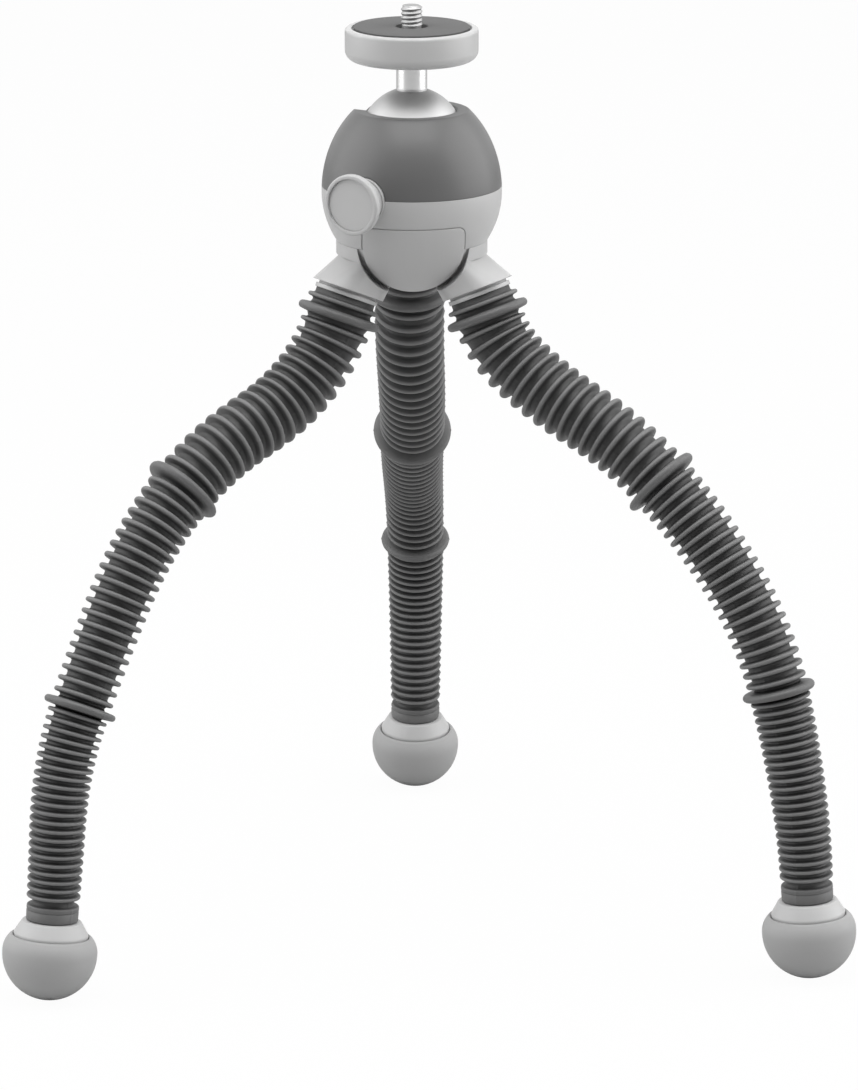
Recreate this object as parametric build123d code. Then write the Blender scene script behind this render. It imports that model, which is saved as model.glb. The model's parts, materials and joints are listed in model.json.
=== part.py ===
from build123d import *
import math
import os

# A tabletop tripod with three bendable ribbed legs under a ball head.
# Millimetres and degrees, +Z up. The floor is z = 0, and x = y = 0 is the middle of the footprint.
# Every piece is drawn about the middle of the round head and moved to the floor at the end.

# Camera platform
PLATFORM_RADIUS = 19.85
PLATFORM_HEIGHT = 9.8
PLATFORM_TOP_ROUND = 1.6
PLATFORM_BOTTOM_ROUND = 3.2
PAD_RADIUS = 17.5
PAD_THICKNESS = 1.5
PAD_PROUD = 0.4
PAD_ROUND = 0.2
PAD_HOLE_RADIUS = 4.7
SCREW_RADIUS = 3.175
SCREW_SHANK_RADIUS = 2.9
SCREW_NECK = 0.3
SCREW_PROUD = 6.3
SCREW_SUNK = 9.0
SCREW_CHAMFER = 0.7

# Ball and its stem
BALL_RADIUS = 15.5
BALL_HEIGHT = 15.6
STEM_RADIUS = 4.6
STEM_REACH = 23.7
STEM_SOCKET = 4.5
STEM_HOLE_DEPTH = 6.0

# Round head: the dark cap above, the light housing below
HEAD_RADIUS = 26.9
CAP_HALF_HEIGHT = 31.5
CAP_TOP = 24.4
CAP_ROUND = 1.1
PARTING = 1.7
WALL = 2.4
COLLAR_WALL = 2.2
COLLAR_LOW = 9.0
CAVITY_TOP = 18.0
LIP_CHAMFER = 1.0
NOTCH_ANGLE = 147.5
NOTCH_RADIUS = 5.2
NOTCH_FLARE = 3.4
NOTCH_CHEEK = 2.1

# Waist, hips and the front cover
WAIST_INSET = 4.3
WAIST_TOP = -14.6
WAIST_LOW = -18.6
HUB_LOW = -26.4
COVER_INSET = 0.3
COVER_HALF_HEIGHT = 33.1
COVER_WALL = 1.4
COVER_TOP = -6.9
COVER_CORNER = 2.2
COVER_HALF_WIDTH = 15.1
COVER_SHOULDER = -13.0
COVER_TIP = -27.9
COVER_SEAM = 0.15
COVER_GAP = 1.5
HIP_DROP = 28.5
HIP_TOP_WIDTH = 17.0
HIP_TOP_DEPTH = 16.2
HIP_TOP_INSET = 8.6
HIP_CORNER = 3.6
HIP_THROAT_RADIUS = 9.8
HIP_THROAT_CORNER = 6.8
FLANGE_RADIUS = 9.6
FLANGE_THICKNESS = 1.2
FLANGE_GROOVE = 0.8
FLANGE_GROOVE_DEPTH = 0.7

# Lock knob and its clamp
KNOB_ANGLE = 236.5
KNOB_HEIGHT = 1.2
KNOB_THICKNESS = 6.9
KNOB_RADIUS = 9.1
KNOB_DISC = 2.4
KNOB_BACK_RADIUS = 6.6
KNOB_RIM = 1.3
KNOB_ROUND = 0.6
KNOB_RECESS = 0.6
KNOB_RUNNING_GAP = 0.3
INLAY_THICKNESS = 1.0
STUD_RADIUS = 3.0
STUD_IN_KNOB = 3.2
STUD_IN_SHOE = 4.0
STUD_COLLAR_RADIUS = 4.2
STUD_COLLAR = 1.5
SHOE_RADIUS = 4.6
SHOE_TIP = 8.2
SHOE_ROOM = 2.4
SHOE_TRAVEL = 1.0
GUIDE_WALL = 2.2
GUIDE_START = 13.2

# Seat under the ball, and the fasteners
SEAT_RADIUS = 7.2
SEAT_HOLE_RADIUS = 2.6
SEAT_DEPTH = 3.0
SEAT_WALL = 1.2
SPRING_HEIGHT = 1.3
SPRING_THICKNESS = 0.7
SPRING_HOLE_RADIUS = 3.2
FLOOR_THICKNESS = 2.4
HUB_PLATE = 4.0
HUB_BOLT_RADIUS = 2.5
HUB_BOLT_TOP = -8.0
HUB_BOLT_HEAD_RADIUS = 4.6
HUB_BOLT_HEAD = 3.0
WASHER_RADIUS = 6.2
WASHER_THICKNESS = 1.0
BASE_CAP_RADIUS = 7.6
BASE_CAP_THICKNESS = 2.0
BASE_CAP_CHAMFER = 0.5
POST_CIRCLE_RADIUS = 18.4
POST_RADIUS = 3.0
POST_ANGLES = (15.0, 90.0, 185.0)
HOUSING_SCREW_RADIUS = 1.3
HOUSING_SCREW_BITE = 6.0
HOUSING_SCREW_HEAD_RADIUS = 2.3
HOUSING_SCREW_HEAD = 1.5

# Legs. A place is a length along the leg's middle line from the top of its hip flange.
RING_PLACES = (7.5, 81.5, 153.2)
RING_RADII = (12.6, 12.1, 10.9)
RING_HALF_WIDTHS = (1.25, 1.15, 1.05)
RIB_COUNTS = (17, 20, 22)
RIB_RADII = (10.7, 10.05, 9.05, 7.9)
RIB_HALF_WIDTHS = (0.6, 0.52, 0.46)
RIB_FLANKS = (0.42, 0.36, 0.3)
GROOVE_RADII = (8.1, 7.6, 6.9, 6.2)
ROOT_RIB_PLACE = 3.7
ROOT_RIB_RADIUS = 10.9
ROOT_RIB_HALF_WIDTH = 0.55
END_COLLAR_START = 212.2
END_COLLAR_LENGTH = 4.9
END_COLLAR_RADIUS = 7.7
END_COLLAR_ROUND = 0.5
CORE_RADIUS = 4.0
CORE_ROOT_DEPTH = 6.5
KNUCKLE_RADIUS = 3.5
KNUCKLE_NECK_RADIUS = 2.2
KNUCKLE_NECK = 5.0
KNUCKLE_SHOULDER = 0.5
CUP_LIP = 0.3
CORE_PLAY = 0.1
CUP_PLAY = 0.08

# Feet
FOOT_RADIUS = 14.0
FOOT_BAND = 0.5
FOOT_ABOVE = 4.8
FOOT_MOUTH_RADIUS = 11.9
FOOT_CORE_DEPTH = 7.4
FOOT_COLLAR_RADIUS = 11.0
FOOT_COLLAR_TOP_RADIUS = 8.4
FOOT_COLLAR_HEIGHT = 4.6
FOOT_COLLAR_EDGE = 0.6
FOOT_COLLAR_SUNK = 1.2

# How the legs stand: the compass direction of each hip, and then the direction of the leg and
# its lean from the vertical at shares of the way to the middle of its foot
HIPS = {"rear": 90.0, "left": 210.0, "right": 330.0}
HEADINGS = {
    "rear": (85.7, 89.2, 86.0, 90.8),
    "left": (215.9, 214.4, 220.3, 227.1),
    "right": (331.1, 332.5, 331.0, 330.9),
}
HEADING_SHARES = (0.04, 0.16, 0.36, 0.60, 0.93)
LEANS = {
    "rear": (17.0, 32.3, 46.3, 50.4, 56.1, 22.0, 4.6, 7.6),
    "left": (19.7, 40.5, 70.3, 48.0, 28.5, 26.2, 4.6, 6.6),
    "right": (19.0, 51.2, 64.8, 47.0, 35.0, 14.9, 9.3, 3.4),
}
LEAN_SHARES = (0.04, 0.10, 0.22, 0.36, 0.52, 0.68, 0.83, 0.93)
SMOOTHING_SHARE = 0.042
# The leg that sets the height of the head
MEASURE_LEG = "left"

RUNNING_PLAY = 0.05
OVERRUN = 60.0

LEG_END = END_COLLAR_START + END_COLLAR_LENGTH
FOOT_MIDDLE = LEG_END + FOOT_COLLAR_HEIGHT + FOOT_ABOVE
STEPS = 480
STEP = FOOT_MIDDLE / STEPS
# Each third of a leg bends about its third rib, and the ribs on both sides of it give way
BENDING_RIB = 2

FLOOR_TOP = WAIST_TOP + FLOOR_THICKNESS
SEAT_LOW = BALL_HEIGHT - BALL_RADIUS - SEAT_DEPTH
COVER_RADIUS = HEAD_RADIUS - COVER_INSET
WAIST_RADIUS = HEAD_RADIUS - WAIST_INSET
HIP_REACH = WAIST_RADIUS
HIP_TOP_REACH = WAIST_RADIUS - HIP_TOP_INSET
PLATFORM_LOW = BALL_HEIGHT + STEM_REACH
PLATFORM_TOP = PLATFORM_LOW + PLATFORM_HEIGHT
PAD_TOP = PLATFORM_TOP + PAD_PROUD
KNOB_BACK = HEAD_RADIUS + KNOB_RUNNING_GAP
KNOB_FACE = KNOB_BACK + KNOB_THICKNESS
GUIDE_END = HEAD_RADIUS - 2 * WALL
SHOE_END = GUIDE_END - STUD_COLLAR - SHOE_ROOM
STUD_TIP = SHOE_END - STUD_IN_SHOE
SCREW_SEAT = WAIST_TOP + HOUSING_SCREW_HEAD
WASHER_SEAT = WAIST_TOP - HUB_PLATE


def rib_places():
    """Places of the ribs between the rings, in three lists."""
    ends = (*RING_PLACES[1:], END_COLLAR_START)
    thirds = []
    for start, end, count in zip(RING_PLACES, ends, RIB_COUNTS):
        pitch = (end - start) / (count + 1)
        thirds.append([start + pitch * (n + 1) for n in range(count)])
    return thirds


RIBS = rib_places()
BENDS = [third[BENDING_RIB] for third in RIBS]


def bend_zone(third):
    """The stretch of ribs that gives way, from groove to groove."""
    start = (third[BENDING_RIB - 2] + third[BENDING_RIB - 1]) / 2
    end = (third[BENDING_RIB + 1] + third[BENDING_RIB + 2]) / 2
    return start, end


def between(place, stops, values):
    """The value at a place between stops."""
    pairs = list(zip(stops, values))
    if place <= stops[0]:
        return values[0]
    for (left, low), (right, high) in zip(pairs, pairs[1:]):
        if place <= right:
            return low + (high - low) * (place - left) / (right - left)
    return values[-1]


class Leg:
    """The bent middle line of one leg. Both ends of it run straight."""

    def __init__(self, name, bend=1.0):
        self.name = name
        self.bend = bend
        around = math.radians(HIPS[name])
        out = Vector(math.cos(around), math.sin(around), 0)
        self.points = [out * HIP_REACH - Vector(0, 0, HIP_DROP)]
        for n in range(STEPS):
            step = self.along((n + 1 / 2) * STEP) * STEP
            self.points.append(self.points[-1] + step)

    def smooth(self, place, shares, values):
        """A value at a place, averaged over a short stretch so that nothing kinks."""
        stops = [FOOT_MIDDLE * share for share in shares]
        reach = FOOT_MIDDLE * SMOOTHING_SHARE
        inside = min(max(place, stops[0]), FOOT_MIDDLE * LEAN_SHARES[-1])
        steps = [n / 4 for n in range(-4, 5)]
        weights = [5 / 4 - abs(step) for step in steps]
        near = [between(inside + reach * step, stops, values) for step in steps]
        return sum(weight * value for weight, value in zip(weights, near)) / sum(weights)

    def lean(self, place):
        return math.radians(self.smooth(place, LEAN_SHARES, LEANS[self.name]) * self.bend)

    def heading(self, place):
        directions = (HIPS[self.name], *HEADINGS[self.name])
        return math.radians(self.smooth(place, HEADING_SHARES, directions))

    def along(self, place):
        """The direction down the leg."""
        lean, heading = self.lean(place), self.heading(place)
        out = Vector(math.cos(heading), math.sin(heading), 0)
        return out * math.sin(lean) - Vector(0, 0, math.cos(lean))

    def point(self, place):
        """A point on the middle line, which goes straight on past both ends."""
        if place < 0:
            return self.points[0] + self.along(0) * place
        if place >= FOOT_MIDDLE:
            return self.points[-1] + self.along(FOOT_MIDDLE) * (place - FOOT_MIDDLE)
        count = int(place / STEP)
        start, end = self.points[count], self.points[count + 1]
        return start + (end - start) * (place / STEP - count)

    def plane(self, place):
        """The plane across the leg at a place: X is level, Z goes down the leg."""
        heading = self.heading(place)
        level = Vector(math.sin(heading), -math.cos(heading), 0)
        return Plane(origin=self.point(place), x_dir=level, z_dir=self.along(place))

    def tread(self):
        """The middle of the foot's round underside."""
        return self.point(FOOT_MIDDLE + FOOT_BAND)

    def drop(self):
        """How far the foot reaches below the middle of the head."""
        return FOOT_RADIUS - self.tread().Z


def leg_that_reaches(name, drop):
    """The leg, bent a little more or less until its foot is on the floor."""
    straight, bent = 1 / 2, 3 / 2
    for _ in range(40):
        middle = (straight + bent) / 2
        if Leg(name, middle).drop() > drop:
            straight = middle
        else:
            bent = middle
    return Leg(name, (straight + bent) / 2)


HEAD_ABOVE_FLOOR = Leg(MEASURE_LEG).drop()
LEGS = {name: leg_that_reaches(name, HEAD_ABOVE_FLOOR) for name in HIPS}


def footprint_middle():
    """The middle of the box round the feet."""
    treads = [leg.tread() for leg in LEGS.values()]
    xs, ys = [tread.X for tread in treads], [tread.Y for tread in treads]
    return (min(xs) + max(xs)) / 2, (min(ys) + max(ys)) / 2


MIDDLE_X, MIDDLE_Y = footprint_middle()
STANDING = Pos(-MIDDLE_X, -MIDDLE_Y, HEAD_ABOVE_FLOOR)


def face_within(*lines):
    """The face inside lines that join end to end."""
    return make_face([edge for line in lines for edge in line.edges()])


def disc(radius, low, high, hole=0.0):
    """A round plate about the head's axis, with or without a hole."""
    plate = Pos(0, 0, (low + high) / 2) * Cylinder(radius, high - low)
    if hole > 0:
        plate -= Pos(0, 0, (low + high) / 2) * Cylinder(hole, high - low)
    return plate


def egg(radius, half_height, low, high):
    """A slice of an egg about the head's axis."""
    strip = Pos(radius / 2, (low + high) / 2) * Rectangle(radius, high - low)
    return revolve(Plane.XZ * (Ellipse(radius, half_height) & strip), Axis.Z)


def ball_space(play):
    """The room that the ball takes, with some play round it."""
    return Pos(0, 0, BALL_HEIGHT) * Sphere(BALL_RADIUS + play)


def rod(radius, start, end):
    """A round bar along the knob's axis."""
    bar = Pos((start + end) / 2, 0, 0) * Rot(0, 90, 0) * Cylinder(radius, end - start)
    return Rot(0, 0, KNOB_ANGLE) * Pos(0, 0, KNOB_HEIGHT) * bar


def posts(low, high, radius):
    """Round bars where the housing screws are."""
    bar = Pos(POST_CIRCLE_RADIUS, 0, (low + high) / 2) * Cylinder(radius, high - low)
    return Part() + [Rot(0, 0, angle) * bar for angle in POST_ANGLES]


def highest_edge(shape):
    return shape.edges().sort_by(Axis.Z)[-1]


def lowest_edge(shape):
    return shape.edges().sort_by(Axis.Z)[0]


def platform_disc():
    plate = disc(PLATFORM_RADIUS, PLATFORM_LOW, PLATFORM_TOP)
    plate = fillet(highest_edge(plate), PLATFORM_TOP_ROUND)
    plate = fillet(lowest_edge(plate), PLATFORM_BOTTOM_ROUND)
    plate -= disc(PAD_RADIUS + COVER_SEAM, PAD_TOP - PAD_THICKNESS, PAD_TOP)
    plate -= disc(STEM_RADIUS, PLATFORM_LOW, PLATFORM_LOW + STEM_SOCKET)
    return plate - disc(SCREW_SHANK_RADIUS, PLATFORM_LOW, PLATFORM_TOP)


def platform_pad():
    """The grippy pad, with a round hole for the camera screw."""
    pad = fillet(highest_edge(disc(PAD_RADIUS, PAD_TOP - PAD_THICKNESS, PAD_TOP)), PAD_ROUND)
    return pad - disc(PAD_HOLE_RADIUS, PAD_TOP - PAD_THICKNESS, PAD_TOP)


def camera_screw():
    """The camera screw: its thread above the pad, and a thinner shank below."""
    thread = disc(SCREW_RADIUS, PAD_TOP + SCREW_NECK, PAD_TOP + SCREW_PROUD)
    thread = chamfer(highest_edge(thread), SCREW_CHAMFER)
    return thread + disc(SCREW_SHANK_RADIUS, PAD_TOP - SCREW_SUNK, PAD_TOP + SCREW_NECK)


def ball():
    """The turned ball and its stem, with the hole that takes the camera screw."""
    stem_top = PLATFORM_LOW + STEM_SOCKET
    shape = ball_space(0) + disc(STEM_RADIUS, BALL_HEIGHT, stem_top)
    return shape - disc(SCREW_SHANK_RADIUS, stem_top - STEM_HOLE_DEPTH, stem_top)


def notch():
    """The U-shaped slot in the cap's rim, with flared corners at its mouth."""
    corner = NOTCH_RADIUS + NOTCH_FLARE
    low, high = CAP_TOP - NOTCH_FLARE, CAP_TOP + OVERRUN
    inset = NOTCH_FLARE * (1 - math.sqrt(1 / 2))
    near, level = NOTCH_RADIUS + inset, CAP_TOP - inset
    shape = face_within(
        ThreePointArc(
            (-NOTCH_RADIUS, BALL_HEIGHT),
            (0, BALL_HEIGHT - NOTCH_RADIUS),
            (NOTCH_RADIUS, BALL_HEIGHT),
        ),
        Line((NOTCH_RADIUS, BALL_HEIGHT), (NOTCH_RADIUS, low)),
        ThreePointArc((NOTCH_RADIUS, low), (near, level), (corner, CAP_TOP)),
        Polyline((corner, CAP_TOP), (corner, high), (-corner, high), (-corner, CAP_TOP)),
        ThreePointArc((-corner, CAP_TOP), (-near, level), (-NOTCH_RADIUS, low)),
        Line((-NOTCH_RADIUS, low), (-NOTCH_RADIUS, BALL_HEIGHT)),
    )
    return Rot(0, 0, NOTCH_ANGLE) * extrude(Plane.YZ * shape, OVERRUN)


def notch_cheeks():
    """The block inside the cap that the notch is cut through."""
    low = BALL_HEIGHT - NOTCH_RADIUS - NOTCH_CHEEK
    block = Box(HEAD_RADIUS, 2 * (NOTCH_RADIUS + NOTCH_CHEEK), CAP_TOP - low)
    return Rot(0, 0, NOTCH_ANGLE) * Pos(HEAD_RADIUS / 2, 0, (CAP_TOP + low) / 2) * block


def upper_cap():
    """The dark cap: an outer wall, and inside it the collar that the ball turns in."""
    cap = fillet(highest_edge(egg(HEAD_RADIUS, CAP_HALF_HEIGHT, PARTING, CAP_TOP)), CAP_ROUND)
    hollow = egg(HEAD_RADIUS - WALL, CAP_HALF_HEIGHT - WALL, PARTING, CAVITY_TOP)
    hollow -= ball_space(COLLAR_WALL) - disc(HEAD_RADIUS, -HEAD_RADIUS, COLLAR_LOW)
    hollow -= notch_cheeks()
    hollow -= posts(PARTING, PARTING + HOUSING_SCREW_BITE + WALL, POST_RADIUS)
    cap -= hollow
    cap -= posts(PARTING, PARTING + HOUSING_SCREW_BITE, HOUSING_SCREW_RADIUS)
    cap -= ball_space(RUNNING_PLAY)
    mouth = math.sqrt(BALL_RADIUS**2 - (CAP_TOP - BALL_HEIGHT) ** 2)
    lip = Cone(mouth, mouth + LIP_CHAMFER, LIP_CHAMFER)
    cap -= Pos(0, 0, CAP_TOP - LIP_CHAMFER / 2) * lip
    cap -= rod(SHOE_RADIUS + GUIDE_WALL + COVER_SEAM, GUIDE_END, HEAD_RADIUS + WALL)
    return cap - notch()


def cover_prism(grow):
    """The shield outline of the front cover as a bar to the front, grown all round."""
    width, top, tip = COVER_HALF_WIDTH + grow, COVER_TOP + grow, COVER_TIP - grow
    arc = ThreePointArc((-width, COVER_SHOULDER), (0, tip), (width, COVER_SHOULDER))
    lines = Polyline((width, COVER_SHOULDER), (width, top), (-width, top), (-width, COVER_SHOULDER))
    bar = extrude(Plane.XZ * face_within(arc, lines), OVERRUN)
    corners = bar.edges().filter_by(Axis.Y).group_by(Axis.Z)[-1]
    return fillet(corners, COVER_CORNER + grow)


def cover_egg(depth, low=-COVER_HALF_HEIGHT, high=0.0):
    """The rounded body that the cover's outside lies on, or one that lies deeper."""
    return egg(COVER_RADIUS - depth, COVER_HALF_HEIGHT - depth, low + depth, high)


def cover_pocket(grow):
    """The room for the front cover, with a gap round its edge."""
    return cover_prism(grow) - cover_egg(COVER_WALL + RUNNING_PLAY)


def front_cover():
    return (cover_egg(0) - cover_egg(COVER_WALL)) & cover_prism(0)


def lower_housing():
    """The light housing below the parting line, with the knob's guide and the ball's seat."""
    shell = egg(HEAD_RADIUS, HEAD_RADIUS, WAIST_TOP, PARTING)
    shell -= egg(HEAD_RADIUS - WALL, HEAD_RADIUS - WALL, FLOOR_TOP, PARTING)
    shell += disc(SEAT_RADIUS + SEAT_WALL, FLOOR_TOP, SEAT_LOW)
    shell -= disc(SEAT_RADIUS + RUNNING_PLAY, SEAT_LOW - SPRING_HEIGHT, SEAT_LOW)
    shell += posts(FLOOR_TOP, PARTING, POST_RADIUS)
    shell += rod(SHOE_RADIUS + GUIDE_WALL, GUIDE_START, HEAD_RADIUS)
    shell -= rod(SHOE_RADIUS + RUNNING_PLAY, SHOE_TIP - RUNNING_PLAY, GUIDE_END)
    shell -= rod(STUD_RADIUS + RUNNING_PLAY, GUIDE_START, HEAD_RADIUS + WALL)
    shell -= ball_space(COLLAR_WALL)
    shell -= cover_pocket(COVER_SEAM)
    shell -= disc(HUB_BOLT_RADIUS, WAIST_TOP, HUB_BOLT_TOP)
    shell -= posts(WAIST_TOP, PARTING, HOUSING_SCREW_RADIUS)
    return shell - posts(WAIST_TOP, SCREW_SEAT, HOUSING_SCREW_HEAD_RADIUS)


def housing_screws():
    shanks = posts(SCREW_SEAT, PARTING + HOUSING_SCREW_BITE, HOUSING_SCREW_RADIUS)
    return shanks + posts(WAIST_TOP, SCREW_SEAT, HOUSING_SCREW_HEAD_RADIUS)


def ball_seat():
    """The loose cup that the ball rests in."""
    return disc(SEAT_RADIUS, SEAT_LOW, BALL_HEIGHT, SEAT_HOLE_RADIUS) - ball_space(RUNNING_PLAY)


def seat_spring():
    """The cupped spring washer that lifts the seat against the ball."""
    low, high = SEAT_LOW - SPRING_HEIGHT, SEAT_LOW - RUNNING_PLAY
    rise = high - low - SPRING_THICKNESS
    inner, outer = SPRING_HOLE_RADIUS, SEAT_RADIUS
    corners = [(inner, low), (outer, low + rise), (outer, high), (inner, high - rise)]
    return revolve(Plane.XZ * face_within(Polyline(*corners, close=True)), Axis.Z)


def knob():
    """The round knob: a disc with a raised rim on a narrower back."""
    rim_back = KNOB_FACE - KNOB_DISC
    rim = Pos(0, 0, (rim_back + KNOB_FACE) / 2) * Cylinder(KNOB_RADIUS, KNOB_DISC)
    rim = fillet(rim.edges().filter_by(GeomType.CIRCLE), KNOB_ROUND)
    neck = Cone(KNOB_BACK_RADIUS, KNOB_RADIUS - KNOB_ROUND, rim_back - KNOB_BACK)
    body = rim + Pos(0, 0, (rim_back + KNOB_BACK) / 2) * neck
    body = Rot(0, 0, KNOB_ANGLE) * Pos(0, 0, KNOB_HEIGHT) * Rot(0, 90, 0) * body
    body -= rod(KNOB_RADIUS - KNOB_RIM, KNOB_FACE - KNOB_RECESS - INLAY_THICKNESS, KNOB_FACE)
    return body - rod(STUD_RADIUS, KNOB_BACK, KNOB_BACK + STUD_IN_KNOB)


def knob_inlay():
    """The plain disc in the knob's face."""
    face = KNOB_FACE - KNOB_RECESS
    return rod(KNOB_RADIUS - KNOB_RIM, face - INLAY_THICKNESS, face)


def knob_stud():
    """The stud that pushes the shoe, with the collar that keeps the knob on."""
    shoulder = GUIDE_END - RUNNING_PLAY
    shaft = rod(STUD_RADIUS, STUD_TIP, KNOB_BACK + STUD_IN_KNOB)
    return shaft + rod(STUD_COLLAR_RADIUS, shoulder - STUD_COLLAR, shoulder)


def clamp_shoe():
    """The plug that the knob presses against the ball."""
    shoe = rod(SHOE_RADIUS, SHOE_TIP, SHOE_END) - ball_space(RUNNING_PLAY)
    return shoe - rod(STUD_RADIUS + RUNNING_PLAY, STUD_TIP - SHOE_TRAVEL, SHOE_END)


def hip(leg):
    """A hip: a block that grows out of the waist and ends in the leg's round flange."""
    face = leg.plane(0)
    throat = face.offset(-FLANGE_GROOVE)
    out = Vector(-face.x_dir.Y, face.x_dir.X, 0)
    root = Plane(
        origin=out * HIP_TOP_REACH + Vector(0, 0, WAIST_LOW),
        x_dir=face.x_dir,
        z_dir=(0, 0, -1),
    )
    bottom = RectangleRounded(2 * HIP_THROAT_RADIUS, 2 * HIP_THROAT_RADIUS, HIP_THROAT_CORNER)
    top = RectangleRounded(HIP_TOP_WIDTH, HIP_TOP_DEPTH, HIP_CORNER)
    block = loft([root * top, throat * bottom])
    groove = extrude(throat * Circle(FLANGE_RADIUS - FLANGE_GROOVE_DEPTH), FLANGE_GROOVE)
    flange = extrude(face * Circle(FLANGE_RADIUS), FLANGE_THICKNESS)
    return block + groove + flange


def leg_hub():
    """The waist with its three hips, and the pocket that the front cover lies in."""
    hub = disc(WAIST_RADIUS, WAIST_LOW, WAIST_TOP)
    hub += cover_egg(COVER_WALL + RUNNING_PLAY, HUB_LOW - COVER_WALL - RUNNING_PLAY, WAIST_LOW)
    for leg in LEGS.values():
        hub += hip(leg)
    hub -= cover_pocket(COVER_GAP)
    for leg in LEGS.values():
        bore = leg.plane(0).offset(-CORE_ROOT_DEPTH)
        hub -= extrude(bore * Circle(CORE_RADIUS), CORE_ROOT_DEPTH + FLANGE_THICKNESS)
    hub -= disc(HUB_BOLT_RADIUS, HUB_LOW, WAIST_TOP)
    hub -= disc(WASHER_RADIUS, HUB_LOW, WASHER_SEAT)
    return hub - disc(BASE_CAP_RADIUS, HUB_LOW, HUB_LOW + BASE_CAP_THICKNESS)


def hub_bolt():
    """The bolt that holds the hub to the housing."""
    seat = WASHER_SEAT - WASHER_THICKNESS
    return disc(HUB_BOLT_RADIUS, seat, HUB_BOLT_TOP) + disc(HUB_BOLT_HEAD_RADIUS, seat - HUB_BOLT_HEAD, seat)


def hub_washer():
    outer = WASHER_RADIUS - RUNNING_PLAY
    return disc(outer, WASHER_SEAT - WASHER_THICKNESS, WASHER_SEAT, HUB_BOLT_RADIUS)


def base_cap():
    """The plug that closes the hub from below."""
    plug = disc(BASE_CAP_RADIUS - RUNNING_PLAY, HUB_LOW, HUB_LOW + BASE_CAP_THICKNESS)
    return chamfer(lowest_edge(plug), BASE_CAP_CHAMFER)


def tapering(place, radii):
    """A radius that tapers down the leg between its rings."""
    return between(place, (*RING_PLACES, END_COLLAR_START), radii)


def tube(leg, steps):
    """A solid through circles across the leg, given as places and radii."""
    circles = [Wire.make_circle(radius, leg.plane(place)) for place, radius in steps]
    return Solid.make_loft(circles, ruled=True)


def rib_steps(start, end):
    """Four circles for each rib and ring between two places, and one at each end."""
    steps = [(start, tapering(start, GROOVE_RADII))]
    ribs = [(ROOT_RIB_PLACE, ROOT_RIB_HALF_WIDTH, ROOT_RIB_RADIUS, RIB_FLANKS[0])]
    for n, third in enumerate(RIBS):
        ribs.append((RING_PLACES[n], RING_HALF_WIDTHS[n], RING_RADII[n], RIB_FLANKS[n]))
        for place in third:
            ribs.append((place, RIB_HALF_WIDTHS[n], tapering(place, RIB_RADII), RIB_FLANKS[n]))
    for place, half, radius, flank in ribs:
        if start < place < end:
            groove = tapering(place, GROOVE_RADII)
            steps += [(place - half - flank, groove), (place - half, radius)]
            steps += [(place + half, radius), (place + half + flank, groove)]
    return steps + [(end, tapering(end, GROOVE_RADII))]


def core_steps(start, end, radius):
    """The circles of the core or its bore, one in every groove."""
    places = [0, RING_PLACES[0] / 2, *RING_PLACES]
    for third in RIBS:
        places += [(left + right) / 2 for left, right in zip(third, third[1:])]
    inside = [place for place in sorted(places) if start < place < end]
    return [(place, radius) for place in (start, *inside, end)]


def sleeve(leg, start, end):
    """A ribbed length of the rubber skin, with the bore for the core."""
    return tube(leg, rib_steps(start, end)) - tube(leg, core_steps(start, end, CORE_RADIUS + CORE_PLAY))


def lower_sleeve(leg, start):
    """The last length of the skin, with the plain collar at its end."""
    steps = rib_steps(start, END_COLLAR_START)
    steps += [(END_COLLAR_START + END_COLLAR_ROUND, END_COLLAR_RADIUS), (LEG_END, END_COLLAR_RADIUS)]
    return tube(leg, steps) - tube(leg, core_steps(start, LEG_END, CORE_RADIUS + CORE_PLAY))


def knuckle_core(leg, start, bend):
    """A length of the metal core that ends in a neck and a ball at a bend."""
    shoulder = bend - KNUCKLE_NECK
    steps = core_steps(start, shoulder, CORE_RADIUS)
    steps += [(shoulder + KNUCKLE_SHOULDER, KNUCKLE_NECK_RADIUS), (bend, KNUCKLE_NECK_RADIUS)]
    return tube(leg, steps) + leg.plane(bend) * Sphere(KNUCKLE_RADIUS)


def cup_space(leg, bend):
    """The room for the ball in the cup at the upper end of a core."""
    return leg.plane(bend) * Sphere(KNUCKLE_RADIUS + CUP_PLAY)


def foot_frame(leg):
    """The middle of the foot, with Z up the leg."""
    plane = leg.plane(FOOT_MIDDLE)
    return Plane(origin=plane.origin, x_dir=plane.x_dir, z_dir=-plane.z_dir)


def foot(leg):
    """The round rubber foot, with a mouth at the top for its collar and the core's end."""
    shoulder = TangentArc((FOOT_RADIUS, 0), (FOOT_MOUTH_RADIUS, FOOT_ABOVE), tangent=(0, 1))
    lines = Polyline((FOOT_MOUTH_RADIUS, FOOT_ABOVE), (0, FOOT_ABOVE), (0, 0), (FOOT_RADIUS, 0))
    body = revolve(Plane.XZ * face_within(shoulder, lines), Axis.Z)
    tread = Pos(0, 0, -FOOT_BAND) * Sphere(FOOT_RADIUS) - disc(FOOT_RADIUS, -FOOT_BAND, FOOT_RADIUS)
    body += disc(FOOT_RADIUS, -FOOT_BAND, 0) + tread
    body -= disc(FOOT_COLLAR_RADIUS, FOOT_ABOVE - FOOT_COLLAR_SUNK, FOOT_ABOVE)
    body -= disc(CORE_RADIUS, FOOT_ABOVE - FOOT_CORE_DEPTH, FOOT_ABOVE)
    return foot_frame(leg) * body


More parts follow.
